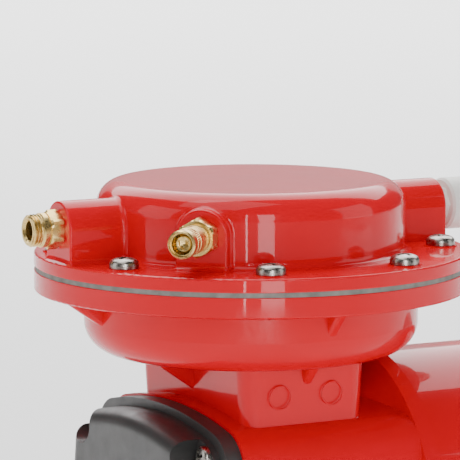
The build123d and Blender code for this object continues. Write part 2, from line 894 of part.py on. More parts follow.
with BuildPart() as crankcase:
    with BuildSketch(head_section):
        half_profile(bowl_points, [bowl_edge, dome_foot, rim_break, seat_break])
    revolve(axis=head_axis)
    with BuildSketch(level(neck_top)):
        RectangleRounded(2 * neck_half_x, 2 * neck_half_y, neck_corner)
    extrude(amount=-neck_length, taper=neck_draft)
    for web in gussets:
        add(web)
    with BuildSketch(station(rim_y)) as housing:
        housing_outline(0)
        fillet(housing.vertices(), housing_corner)
    extrude(amount=crankcase_flange_y - rim_y)
    with BuildSketch(Plane((0, head_y, motor_z), x_dir=(0, 1, 0), z_dir=(1, 0, 0))):
        with BuildLine() as flare_line:
            Polyline(
                (crankcase_flange_y, crankcase_flange_radius),
                (crankcase_rear_y, crankcase_flange_radius),
                (crankcase_rear_y, motor_hollow_radius - 4),
                (flare_start_y - 4, motor_hollow_radius - 4),
                (flare_start_y, flare_radius),
            )
            ThreePointArc(
                (flare_start_y, flare_radius),
                (flare_middle_y, flare_middle_radius),
                (crankcase_flange_y, crankcase_flange_radius),
            )
        make_face(flare_line.edges())
    revolve(axis=Axis((0, head_y, motor_z), (0, 1, 0)))
    ring(station(bearing_wall_y), 0, motor_hollow_radius, crankcase_rear_y - bearing_wall_y)
    ring(station(crankcase_rear_y), motor_hollow_radius, tube_radius - tube_wall - seat_fit, spigot_length)
    with BuildSketch(station(cast_foot_y[0])):
        cradle_profile(housing_half_width - housing_corner, -housing_bottom + housing_bulge)
    extrude(amount=foot_length)
    # hollows
    with BuildSketch(head_section):
        half_profile(bowl_hollow, [seat_break, bowl_edge])
    revolve(axis=head_axis, mode=Mode.SUBTRACT)
    ring(station(rim_y), 0, crank_hollow_radius, bearing_wall_y - rim_y, mode=Mode.SUBTRACT)
    with BuildSketch(level(neck_top)):
        RectangleRounded(2 * (neck_half_x - neck_wall), 2 * (neck_half_y - neck_wall), neck_corner / 2)
    extrude(amount=-(neck_top - motor_z - crank_hollow_radius / 2), mode=Mode.SUBTRACT)
    with BuildSketch(level(neck_top)):
        RectangleRounded(2 * (neck_half_x - neck_wall), 2 * (neck_half_y - neck_wall), neck_corner / 2)
    extrude(amount=bowl_floor - neck_top + 1, mode=Mode.SUBTRACT)
    hollow_start = front_bearing_y + front_bearing_width
    ring(
        station(hollow_start), 0, motor_hollow_radius, crankcase_rear_y + spigot_length - hollow_start, mode=Mode.SUBTRACT
    )
    ring(station(front_bearing_y), 0, front_bearing_outer + seat_fit, front_bearing_width, mode=Mode.SUBTRACT)
    ring(
        station(bearing_wall_y), 0, front_bearing_bore + 3, front_bearing_y - bearing_wall_y, mode=Mode.SUBTRACT
    )
    with BuildSketch(level(clamp_bottom)):
        with PolarLocations(head_screw_circle, head_screw_count, start_angle=first_screw_angle):
            Circle(m6_pan[0] + seat_fit)
    extrude(amount=-bowl_flange, mode=Mode.SUBTRACT)
    with BuildSketch(station(rim_y)):
        with Locations(*cover_screw_spots):
            Circle(m5_pan[0] + seat_fit)
    extrude(amount=cover_screw_depth, mode=Mode.SUBTRACT)
    with BuildSketch(station(crankcase_rear_y + spigot_length)):
        with Locations(*tie_bolt_spots):
            Circle(m5_pan[0] + seat_fit)
    extrude(amount=-tie_bolt_depth, mode=Mode.SUBTRACT)
    with BuildSketch(level(rail_top, shift_y=0)):
        with Locations(*crankcase_bolt_spots):
            Circle(m6_pan[0] + screw_gap)
    extrude(amount=cast_foot_thickness, mode=Mode.SUBTRACT)


# ======== Front cover with four screw pockets
with BuildPart() as front_cover:
    with BuildSketch(station(rim_y)) as lip:
        housing_outline(cover_lip_inset)
        fillet(lip.vertices(), housing_corner)
    extrude(amount=-cover_lip_depth)
    with BuildSketch(station(rim_y - cover_lip_depth)) as body:
        housing_outline(cover_body_inset)
        fillet(body.vertices(), housing_corner)
    extrude(amount=cover_lip_depth - cover_depth)
    front_edges = front_cover.faces().sort_by(Axis.Y)[0].edges()
    fillet(front_edges, cover_edge)
    ring(station(rim_y), 0, crank_hollow_radius - cover_wall, cover_wall - cover_depth, mode=Mode.SUBTRACT)
    with BuildSketch(station(rim_y - cover_pocket_floor)):
        with Locations(*cover_screw_spots):
            Circle(cover_pocket_radius)
    extrude(amount=-cover_depth, mode=Mode.SUBTRACT)
    with BuildSketch(station(rim_y)):
        with Locations(*cover_screw_spots):
            Circle(m5_pan[0] + screw_gap)
    extrude(amount=-cover_depth, mode=Mode.SUBTRACT)

with BuildPart() as front_cover_screws:
    for x, z in cover_screw_spots:
        seat = Plane((x, head_y + rim_y - cover_pocket_floor, motor_z + z), x_dir=(1, 0, 0), z_dir=(0, -1, 0))
        pan_screw(seat, m5_pan, cover_pocket_floor + cover_screw_depth - 2)


# ======== Bearings: outer race, inner race and balls, each about a plane's normal
def bearing(plane, bore, outer, width):
    """The three pieces of a deep groove ball bearing that starts on the plane."""
    middle = (bore + outer) / 2
    ball = 0.28 * (outer - bore)
    groove = ball + 2 * running_fit
    race = 0.27 * (outer - bore)
    centre = plane.offset(width / 2)
    spin = Axis(centre.origin, centre.z_dir)
    with BuildPart() as outer_race:
        ring(plane, outer - race, outer, width)
        with BuildSketch(axial_section(centre)) as track:
            with Locations((middle, 0)):
                Circle(groove)
        revolve(track.sketch, axis=spin, mode=Mode.SUBTRACT)
    with BuildPart() as inner_race:
        ring(plane, bore, bore + race, width)
        with BuildSketch(axial_section(centre)) as track:
            with Locations((middle, 0)):
                Circle(groove)
        revolve(track.sketch, axis=spin, mode=Mode.SUBTRACT)
    with BuildPart() as balls:
        with Locations(centre):
            with PolarLocations(middle, 9):
                Sphere(ball)
    return outer_race, inner_race, balls


pin_bearing_start = Plane((0, head_y - rod_bearing_width / 2, crank_pin_z), x_dir=(-1, 0, 0), z_dir=(0, 1, 0))
rod_bearing = bearing(pin_bearing_start, rod_bearing_bore, rod_bearing_outer, rod_bearing_width)
front_bearing = bearing(
    station(front_bearing_y), front_bearing_bore, front_bearing_outer, front_bearing_width
)
rear_bearing_y = shield_end_y - 3 - rear_bearing_width
rear_bearing = bearing(station(rear_bearing_y), rear_bearing_bore, rear_bearing_outer, rear_bearing_width)


# ======== Connecting rod: eye round the bearing, blade and top disc under the diaphragm
rod_top_z = lower_plate_z
with BuildPart() as connecting_rod:
    rod_middle = Plane((0, head_y, crank_pin_z), x_dir=(1, 0, 0), z_dir=(0, -1, 0))
    with BuildSketch(rod_middle):
        half_profile(
            [
                (-rod_eye_radius + 6, 8),
                (rod_eye_radius - 6, 8),
                (rod_flange_width / 2, rod_top_z - crank_pin_z - rod_top_thickness / 2),
                (-rod_flange_width / 2, rod_top_z - crank_pin_z - rod_top_thickness / 2),
            ]
        )
    extrude(amount=rod_web, both=True)
    ring(rod_middle.offset(-rod_width / 2), 0, rod_eye_radius, rod_width)
    ring(rod_middle.offset(-rod_width / 2), 0, rod_bearing_outer + seat_fit, rod_width, mode=Mode.SUBTRACT)
    ring(level(rod_top_z), 0, rod_top_radius, -rod_top_thickness)
    ring(
        level(rod_top_z), 0, diaphragm_screw_radius + seat_fit, -diaphragm_screw_depth - 1, mode=Mode.SUBTRACT
    )


# ======== Eccentric with counterweight, held on the shaft by a grub screw
collar_start = rod_bearing_width / 2 + seat_fit
collar_length = bearing_wall_y - 3 - collar_start
weight_y = collar_start + collar_length - counterweight_thickness
with BuildPart() as eccentric:
    pin_start = Plane((0, head_y - rod_width / 2, crank_pin_z), x_dir=(-1, 0, 0), z_dir=(0, 1, 0))
    ring(pin_start, 0, rod_bearing_bore - seat_fit, rod_width / 2 + collar_start)
    ring(station(collar_start), 0, collar_radius, collar_length)
    with BuildSketch(station(weight_y)):
        Circle(counterweight_radius)
        Rectangle(
            2 * counterweight_radius, counterweight_radius, align=(Align.CENTER, Align.MIN), mode=Mode.SUBTRACT
        )
    extrude(amount=counterweight_thickness)
    ring(station(-rod_width), 0, shaft_nose + seat_fit, 3 * rod_width, mode=Mode.SUBTRACT)
    grub_y = collar_start + collar_length / 2
    ring(level(motor_z, shift_y=grub_y), 0, m4_pan[0] + seat_fit, collar_radius + 1, mode=Mode.SUBTRACT)

with BuildPart() as eccentric_grub_screw:
    ring(level(motor_z + shaft_nose + 0.1, shift_y=grub_y), 0, m4_pan[0], collar_radius - shaft_nose - 1)


# ======== Motor: shaft, rotor, stator, windings, tube, shield, tie bolts
fan_y = shield_end_y + 4
rotor_seat = shaft_nose + 3.5
shaft_steps = [
    (-rod_width / 2, shaft_nose),
    (bearing_wall_y + 2, front_bearing_bore - seat_fit),
    (front_bearing_y + front_bearing_width, front_bearing_bore + 1.5),
    (stator_y, rotor_seat),
    (stator_y + stator_length, rear_bearing_bore + 2),
    (rear_bearing_y, rear_bearing_bore - seat_fit),
    (shield_end_y, fan_bore),
]
with BuildPart() as motor_shaft:
    ends = [start for start, _ in shaft_steps[1:]] + [fan_y + fan_width]
    for (start, radius), end in zip(shaft_steps, ends):
        ring(station(start), 0, radius, end - start)

rotor_radius = stator_bore - air_gap
bar_circle = rotor_radius - 5
with BuildPart() as rotor_core:
    with BuildSketch(station(stator_y)):
        Circle(rotor_radius)
        Circle(rotor_seat + seat_fit, mode=Mode.SUBTRACT)
        with PolarLocations(bar_circle, cage_bar_count):
            Circle(cage_bar_radius + seat_fit, mode=Mode.SUBTRACT)
    extrude(amount=stator_length)

with BuildPart() as rotor_cage:
    for start in (stator_y - cage_ring_length, stator_y + stator_length):
        ring(station(start), bar_circle - 6, bar_circle + 3, cage_ring_length)
    with BuildSketch(station(stator_y)):
        with PolarLocations(bar_circle, cage_bar_count):
            Circle(cage_bar_radius)
    extrude(amount=stator_length)

tube_inner = tube_radius - tube_wall
with BuildPart() as stator_core:
    with BuildSketch(station(stator_y)):
        Circle(tube_inner - seat_fit)
        Circle(stator_bore, mode=Mode.SUBTRACT)
        with PolarLocations(slot_circle, slot_count):
            Circle(slot_radius + seat_fit, mode=Mode.SUBTRACT)
        with Locations(*tie_bolt_spots):
            Circle(m5_pan[0] + screw_gap, mode=Mode.SUBTRACT)
    extrude(amount=stator_length)

with BuildPart() as stator_windings:
    for start in (stator_y - winding_overhang, stator_y + stator_length):
        ring(station(start), winding_inner, winding_outer, winding_overhang)
    with BuildSketch(station(stator_y)):
        with PolarLocations(slot_circle, slot_count):
            Circle(slot_radius)
    extrude(amount=stator_length)

with BuildPart() as motor_tube:
    ring(station(crankcase_rear_y), tube_inner, tube_radius, tube_length)

with BuildPart() as rear_shield:
    ring(station(tube_end_y), 0, tube_radius, shield_thickness)
    ring(station(tube_end_y - spigot_length), motor_hollow_radius + 2, tube_inner - seat_fit, spigot_length)
    ring(station(rear_bearing_y - 1), 0, rear_bearing_outer + 4, tube_end_y - rear_bearing_y + 1)
    ring(
        station(rear_bearing_y - 2), 0, rear_bearing_outer + seat_fit, rear_bearing_width + 2, mode=Mode.SUBTRACT
    )
    ring(station(tube_end_y), 0, rear_bearing_bore + 2, shield_thickness, mode=Mode.SUBTRACT)
    with BuildSketch(station(tube_end_y)):
        with PolarLocations(shield_vent_circle, 8, start_angle=22.5):
            Circle(shield_vent_radius)
        with Locations(*cap_screw_spots):
            Circle(m4_pan[0] + seat_fit)
    extrude(amount=shield_thickness, mode=Mode.SUBTRACT)
    with BuildSketch(station(tube_end_y - spigot_length)):
        with Locations(*tie_bolt_spots):
            Circle(m5_pan[0] + screw_gap)
    extrude(amount=shield_thickness + spigot_length, mode=Mode.SUBTRACT)

tie_bolt_length = shield_end_y - crankcase_rear_y - spigot_length + tie_bolt_depth - 1
with BuildPart() as tie_bolts:
    for x, z in tie_bolt_spots:
        seat = station(shield_end_y)
        place = Plane(seat.from_local_coords((x, z, 0)), x_dir=seat.x_dir, z_dir=seat.z_dir)
        pan_screw(place, m5_pan, tie_bolt_length)

with BuildPart() as cooling_fan:
    ring(station(fan_y), fan_bore + seat_fit, fan_hub_radius, fan_width)
    ring(station(fan_y), fan_hub_radius - 1, fan_radius / 2, 2)
    for number in range(fan_blades):
        with BuildSketch(station(fan_y, number * 360 / fan_blades)):
            with Locations(((fan_hub_radius + fan_radius) / 2 - 0.5, 0)):
                Rectangle(fan_radius - fan_hub_radius + 1, 2)
        extrude(amount=fan_width)


# ======== Rear cap: cup with screw columns, air slots, capacitor cradle and switch pocket
cap_inner = tube_radius - rear_cap_wall
switch_face = Plane((0, head_y + rear_end_y, motor_z + switch_rise), x_dir=(-1, 0, 0), z_dir=(0, 1, 0))
capacitor_y = rear_end_y - 2 * rear_cap_wall - capacitor_radius - 1
gland_plane = Plane((-tube_radius + 4, head_y + capacitor_y, motor_z - 4), x_dir=(0, 1, 0), z_dir=(-1, 0, 0))
with BuildPart() as rear_cap:
    ring(station(shield_end_y), 0, tube_radius, rear_cap_depth)
    fillet(rear_cap.faces().sort_by(Axis.Y)[-1].edges(), rear_cap_edge)
    with BuildSketch(station(shield_end_y)):
        Circle(cap_inner)
        with Locations(*cap_screw_spots):
            Circle(cap_column_radius, mode=Mode.SUBTRACT)
    extrude(amount=rear_cap_depth - 2 * rear_cap_wall, mode=Mode.SUBTRACT)
    with BuildSketch(station(shield_end_y)):
        with Locations(*tie_bolt_spots):
            Circle(m5_pan[1] + screw_gap)
    extrude(amount=m5_pan[2] + screw_gap, mode=Mode.SUBTRACT)
    for x in (-cradle_spacing / 2, cradle_spacing / 2 - rear_cap_wall):
        cradle_plane = Plane(
            (x, head_y + capacitor_y, motor_z - capacitor_drop), x_dir=(0, 1, 0), z_dir=(1, 0, 0)
        )
        with BuildSketch(cradle_plane):
            Rectangle(capacitor_radius + 2, 2 * capacitor_radius + 6, align=(Align.MIN, Align.CENTER))
            Circle(capacitor_radius + seat_fit, mode=Mode.SUBTRACT)
        extrude(amount=rear_cap_wall)
    ring(gland_plane, 0, gland_pad_radius, 6)
    ring(gland_plane.offset(-3), 0, gland_thread_radius + seat_fit, 10, mode=Mode.SUBTRACT)
    with BuildSketch(station(rear_end_y)):
        with Locations(*cap_screw_spots):
            Circle(m4_pan[1] + 0.5)
    extrude(amount=-cap_screw_well, mode=Mode.SUBTRACT)
    with BuildSketch(station(shield_end_y)):
        with Locations(*cap_screw_spots):
            Circle(m4_pan[0] + screw_gap)
    extrude(amount=rear_cap_depth, mode=Mode.SUBTRACT)
    for number in range(cap_slot_count):
        spoke = station(fan_y - 2, cap_slot_start + number * cap_slot_step)
        with BuildSketch(spoke):
            with Locations((tube_radius, 0)):
                Rectangle(4 * rear_cap_wall, cap_slot_width)
        extrude(amount=cap_slot_length, mode=Mode.SUBTRACT)
    with BuildSketch(switch_face):
        Rectangle(switch_width + 2 * screw_gap, switch_height + 2 * screw_gap)
    extrude(amount=-switch_recess, mode=Mode.SUBTRACT)
    with BuildSketch(switch_face):
        Rectangle(switch_width - 3, switch_height - 3)
    extrude(amount=-3 * rear_cap_wall, mode=Mode.SUBTRACT)

with BuildPart() as rear_cap_screws:
    for x, z in cap_screw_spots:
        seat = station(rear_end_y - cap_screw_well)
        pan_screw(
            Plane(seat.from_local_coords((x, z, 0)), x_dir=seat.x_dir, z_dir=seat.z_dir),
            m4_pan,
            rear_cap_depth - cap_screw_well + shield_thickness,
        )

with BuildPart() as run_capacitor:
    end_plane = Plane(
        (
            -capacitor_length / 2, head_y + capacitor_y, motor_z - capacitor_drop), x_dir=(0, 1, 0), z_dir=(1, 0, 0
        )
    )
    ring(end_plane, 0, capacitor_radius, capacitor_length)
    for shift in (-5, 5):
        with BuildSketch(end_plane.offset(capacitor_length)):
            with Locations((shift, 0)):
                Rectangle(0.8, 6)
        extrude(amount=6)

with BuildPart() as switch_bezel:
    with BuildSketch(switch_face.offset(-switch_recess)):
        Rectangle(switch_width, switch_height)
        Rectangle(switch_width - 8, switch_height - 6, mode=Mode.SUBTRACT)
    extrude(amount=1.5)
    with BuildSketch(switch_face.offset(-switch_recess - switch_body_depth)):
        Rectangle(switch_width - 3 - 2 * seat_fit, switch_height - 3 - 2 * seat_fit)
        Rectangle(switch_width - 8, switch_height - 6, mode=Mode.SUBTRACT)
    extrude(amount=switch_body_depth)
    with BuildSketch(switch_face.offset(-switch_recess - switch_body_depth)):
        Rectangle(switch_width - 3 - 2 * seat_fit, switch_height - 3 - 2 * seat_fit)
    extrude(amount=2)

rocker_pivot = (0, head_y + rear_end_y - switch_recess - rocker_pivot_depth, motor_z + switch_rise)
tilt = radians(rocker_tilt)
with BuildPart() as switch_rocker:
    rocker_plane = Plane(rocker_pivot, x_dir=(0, cos(tilt), sin(tilt)), z_dir=(1, 0, 0))
    with BuildSketch(rocker_plane):
        half_profile(
            [
                (-2, -4),
                (rocker_pivot_depth, -rocker_half_height),
                (rocker_pivot_depth + 0.8, -rocker_half_height),
                (rocker_pivot_depth, 0),
                (rocker_pivot_depth + 0.8, rocker_half_height),
                (rocker_pivot_depth, rocker_half_height),
                (-2, 4),
            ]
        )
    extrude(amount=(switch_width - 8) / 2 - side_gap, both=True)

with BuildPart() as cable_gland:
    ring(gland_plane.offset(-6), 0, gland_thread_radius, 12)
    add(hex_block(gland_plane.offset(6), 2 * gland_pad_radius - 4, 6))
    ring(gland_plane.offset(-6), 0, gland_bore, 24, mode=Mode.SUBTRACT)
    turn(
        gland_plane.offset(12 + seat_fit),
        [
            (gland_bore, 0),
            (gland_pad_radius - 2.5, 0),
            (gland_pad_radius - 2.5, 6),
            (gland_pad_radius - 6, 10),
            (gland_bore, 10),
        ],
    )


# ======== Base: rails, saddle, rubber feet, bolts and nuts
rail_length = rail_y[1] - rail_y[0]
bolt_stations = [*crankcase_bolt_y, saddle_y]
rails = {}
for rail_name, side in (("base_rail_left", -1), ("base_rail_right", 1)):
    with BuildPart() as rail:
        with BuildSketch(level(foot_height, side * rail_spacing / 2, sum(rail_y) / 2)):
            RectangleRounded(rail_width, rail_length, 6)
            with Locations(*[(0, y - sum(rail_y) / 2) for y in (*bolt_stations, *foot_y)]):
                Circle(m6_pan[0] + screw_gap, mode=Mode.SUBTRACT)
        extrude(amount=rail_thickness)
    rails[rail_name] = rail

with BuildPart() as motor_saddle:
    with BuildSketch(station(saddle_y - saddle_width / 2)):
        cradle_profile(saddle_half_width, -sqrt(tube_radius**2 - saddle_half_width**2) + 4)
        Circle(tube_radius + seat_fit, mode=Mode.SUBTRACT)
    extrude(amount=saddle_width)
    with BuildSketch(level(rail_top)):
        with Locations((-rail_spacing / 2, saddle_y), (rail_spacing / 2, saddle_y)):
            Circle(m6_pan[0] + screw_gap)
    extrude(amount=cast_foot_thickness, mode=Mode.SUBTRACT)


def rail_spots(stations):
    """Places on both rails at the given distances behind the head axis."""
    return [(x * rail_spacing / 2, y) for x in (-1, 1) for y in stations]


with BuildPart() as rail_bolts:
    for x, y in rail_spots(bolt_stations):
        seat = level(rail_top + cast_foot_thickness, x, y)
        add(hex_block(seat, m6_hex_across, m6_hex_head))
        ring(seat, 0, m6_pan[0], -(cast_foot_thickness + rail_thickness + m6_nut_height + screw_end))

with BuildPart() as rail_nuts:
    for x, y in rail_spots(bolt_stations):
        add(hex_block(level(foot_height, x, y), m6_hex_across, -m6_nut_height, -0.7))
        ring(level(foot_height, x, y), 0, m6_pan[0] + seat_fit, -m6_nut_height, mode=Mode.SUBTRACT)
    for x, y in rail_spots(foot_y):
        add(hex_block(level(rail_top, x, y), m6_hex_across, m6_nut_height))
        ring(level(rail_top, x, y), 0, m6_pan[0] + seat_fit, m6_nut_height, mode=Mode.SUBTRACT)

foot_pieces = {}
for foot_name, (x, y) in zip(
    ("rubber_foot_front_left", "rubber_foot_rear_left", "rubber_foot_front_right", "rubber_foot_rear_right"),
    rail_spots(foot_y),
):
    with BuildPart() as foot:
        turn(
            level(0, x, y),
            [
                (m6_pan[1] + 1, 0),
                (foot_bottom_radius - 1, 0),
                (foot_bottom_radius, 1),
                (foot_top_radius, foot_height),
                (m6_pan[0] + screw_gap, foot_height),
                (m6_pan[0] + screw_gap, foot_well),
                (m6_pan[1] + 1, foot_well),
            ],
        )
    foot_pieces[foot_name] = foot

with BuildPart() as foot_screws:
    for x, y in rail_spots(foot_y):
        under = Plane((x, head_y + y, foot_well), x_dir=(1, 0, 0), z_dir=(0, 0, -1))
        pan_screw(under, m6_pan, foot_height - foot_well + rail_thickness + m6_nut_height + screw_end)


# ======== Labels and files
pieces = {
    "head_cover": head_cover,
    "valve_plate": valve_plate,
    "valve_plate_screws": valve_plate_screws,
    **reeds,
    "reed_stop": reed_stop,
    "reed_rivets": reed_rivets,
    "diaphragm": diaphragm,
    "diaphragm_upper_plate": diaphragm_upper_plate,
    "diaphragm_lower_plate": diaphragm_lower_plate,
    "diaphragm_screw": diaphragm_screw,
    "head_screws": head_screws,
    "outlet_fitting": outlet_fitting,
    "relief_valve_body": relief_valve_body,
    "relief_ball": relief_ball,
    "relief_spring": relief_spring,
    "relief_spring_seat": relief_spring_seat,
    "relief_adjuster": relief_adjuster,
    "intake_filter_cup": intake_filter_cup,
    "intake_felt": intake_felt,
    "crankcase": crankcase,
    "front_cover": front_cover,
    "front_cover_screws": front_cover_screws,
    "connecting_rod": connecting_rod,
    "eccentric": eccentric,
    "eccentric_grub_screw": eccentric_grub_screw,
    "motor_shaft": motor_shaft,
    "rotor_core": rotor_core,
    "rotor_cage": rotor_cage,
    "stator_core": stator_core,
    "stator_windings": stator_windings,
    "motor_tube": motor_tube,
    "rear_shield": rear_shield,
    "tie_bolts": tie_bolts,
    "cooling_fan": cooling_fan,
    "rear_cap": rear_cap,
    "rear_cap_screws": rear_cap_screws,
    "run_capacitor": run_capacitor,
    "switch_bezel": switch_bezel,
    "switch_rocker": switch_rocker,
    "cable_gland": cable_gland,
    **rails,
    "motor_saddle": motor_saddle,
    "rail_bolts": rail_bolts,
    "rail_nuts": rail_nuts,
    **foot_pieces,
    "foot_screws": foot_screws,
}
for bearing_name, bearing_parts in (
    ("rod_bearing", rod_bearing),
    ("front_bearing", front_bearing),
    ("rear_bearing", rear_bearing),
):
    for piece_name, piece in zip(("outer_race", "inner_race", "balls"), bearing_parts):
        pieces[f"{bearing_name}_{piece_name}"] = piece

for name, piece in pieces.items():
    piece.part.label = name
    export_step(piece.part, f"parts/{name}.step")
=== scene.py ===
import json
from math import cos, pi, radians, sin

import bmesh
import bpy
from mathutils import Matrix, Vector


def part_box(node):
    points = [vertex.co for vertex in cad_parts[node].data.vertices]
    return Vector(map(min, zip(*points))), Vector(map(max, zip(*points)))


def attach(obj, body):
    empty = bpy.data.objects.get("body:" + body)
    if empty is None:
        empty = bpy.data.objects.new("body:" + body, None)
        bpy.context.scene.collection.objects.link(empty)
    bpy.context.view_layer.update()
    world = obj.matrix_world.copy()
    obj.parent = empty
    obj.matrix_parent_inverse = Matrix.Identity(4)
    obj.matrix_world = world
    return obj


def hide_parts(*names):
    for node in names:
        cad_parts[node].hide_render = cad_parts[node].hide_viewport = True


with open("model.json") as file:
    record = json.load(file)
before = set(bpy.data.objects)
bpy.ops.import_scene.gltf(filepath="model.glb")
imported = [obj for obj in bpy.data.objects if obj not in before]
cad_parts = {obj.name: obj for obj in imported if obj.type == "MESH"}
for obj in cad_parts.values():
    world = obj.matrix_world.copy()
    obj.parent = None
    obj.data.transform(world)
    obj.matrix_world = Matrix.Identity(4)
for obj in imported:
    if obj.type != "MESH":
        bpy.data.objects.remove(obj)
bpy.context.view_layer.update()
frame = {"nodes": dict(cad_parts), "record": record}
nodes = frame["nodes"]
record = frame["record"]

MM = 0.001
HEX_ACROSS = 14 * MM      # both brass fittings, across flats
STUB_LENGTH = 10 * MM     # thread of a fitting inside its boss
STUB_RADIUS = 6.5 * MM
STUB_LAP = 0.1 * MM       # how far a stub runs into its hexagon
TURNED_SHARP = 28         # degrees between faces beyond which a turned edge is sharp
SHOULDER = 0.72           # how square the shoulder of a screw head is: 1 is an ellipse
M6_HEAD = (6 * MM, 4.3 * MM, 3 * MM)      # radius and height of the head, radius of the shank
M5_HEAD = (4.8 * MM, 3.4 * MM, 2.5 * MM)
FIRST_SCREW = 22.5        # degrees
SCREW_STEP = 45


# ---- Places taken from the frame
def corners(node):
    """Lowest and highest corner of a CAD node."""
    low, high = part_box(node)
    return Vector(low), Vector(high)


def middle(node):
    """Middle of a CAD node's box."""
    low, high = corners(node)
    return (low + high) / 2


# The head's axis, at the middle of the clamped rim of the diaphragm
half_diaphragm = 1 * MM
diaphragm_low = corners("diaphragm")[0]
head = Vector((middle("diaphragm").x, middle("diaphragm").y, diaphragm_low.z + half_diaphragm))

# The boss faces that the brass fittings stand on, and the ways that they point
relief_azimuth = radians(-45)
ball_from_face = 3 * MM
relief_out = Vector((cos(relief_azimuth), sin(relief_azimuth), 0))
relief_face = middle("relief_ball") - relief_out * ball_from_face
adjuster_middle = middle("relief_adjuster")
outlet_low, outlet_high = corners("outlet_fitting")
outlet_out = Vector((0, -1, 0))
outlet_face = Vector((head.x, outlet_high.y - STUB_LENGTH, middle("outlet_fitting").z))

neck_half_width = 49.4 * MM
neck_face = head.x + neck_half_width


# ---- Materials
def shader_tree(name):
    """A new material, its node tree helper and its Principled shader."""
    material = bpy.data.materials.new(name)
    material.use_nodes = True
    tree = material.node_tree
    return material, tree, tree.nodes["Principled BSDF"]


def noise(tree, scale, detail=3.0, roughness=0.55):
    """Noise value in object coordinates; the scale is in waves per metre."""
    coords = tree.nodes.get("Object coords")
    if coords is None:
        coords = tree.nodes.new("ShaderNodeTexCoord")
        coords.name = "Object coords"
    texture = tree.nodes.new("ShaderNodeTexNoise")
    texture.inputs["Scale"].default_value = scale
    texture.inputs["Detail"].default_value = detail
    texture.inputs["Roughness"].default_value = roughness
    tree.links.new(coords.outputs["Object"], texture.inputs["Vector"])
    return texture.outputs["Fac"]


def spread(tree, value, low, high, out_low, out_high):
    """Map a value range to another one."""
    node = tree.nodes.new("ShaderNodeMapRange")
    node.inputs["From Min"].default_value = low
    node.inputs["From Max"].default_value = high
    node.inputs["To Min"].default_value = out_low
    node.inputs["To Max"].default_value = out_high
    tree.links.new(value, node.inputs["Value"])
    return node.outputs["Result"]


def blend_colours(tree, value, low, first, second):
    """Colour between two others, where the value passes from low to 1 - low."""
    ramp = tree.nodes.new("ShaderNodeValToRGB")
    ramp.color_ramp.elements[0].position = low
    ramp.color_ramp.elements[1].position = 1 - low
    ramp.color_ramp.elements[0].color = (*first, 1)
    ramp.color_ramp.elements[1].color = (*second, 1)
    tree.links.new(value, ramp.inputs["Fac"])
    return ramp.outputs["Color"]


def bumps(tree, layers):
    """Stacked bump nodes from (height value, depth in metres, strength) layers."""
    normal = None
    for height, depth, strength in layers:
        node = tree.nodes.new("ShaderNodeBump")
        node.inputs["Distance"].default_value = depth
        node.inputs["Strength"].default_value = strength
        tree.links.new(height, node.inputs["Height"])
        if normal is not None:
            tree.links.new(normal, node.inputs["Normal"])
        normal = node.outputs["Normal"]
    return normal


def finish_material(
    name,
    first,
    second,
    rough,
    metallic=0.0,
    coat=0.0,
    coat_rough=0.05,
    patch=25.0,
    grain=((900.0, 0.00005, 0.3),),
):
    """Material with a mottled colour, an uneven roughness and one or more scales of surface grain.

    The colour wanders between first and second in patches, patch per metre, and each layer of grain
    is (scale, depth in metres, strength).
    """
    material, tree, shader = shader_tree(name)
    colour = blend_colours(tree, noise(tree, patch), 0.3, first, second)
    tree.links.new(colour, shader.inputs["Base Color"])
    roughness = spread(tree, noise(tree, patch * 4), 0.3, 0.7, *rough)
    tree.links.new(roughness, shader.inputs["Roughness"])
    layers = [(noise(tree, scale), depth, strength) for scale, depth, strength in grain]
    tree.links.new(bumps(tree, layers), shader.inputs["Normal"])
    shader.inputs["Metallic"].default_value = metallic
    shader.inputs["Coat Weight"].default_value = coat
    shader.inputs["Specular IOR Level"].default_value = 0.5 if coat == 0 else 0.05
    shader.inputs["Coat Roughness"].default_value = coat_rough
    return material


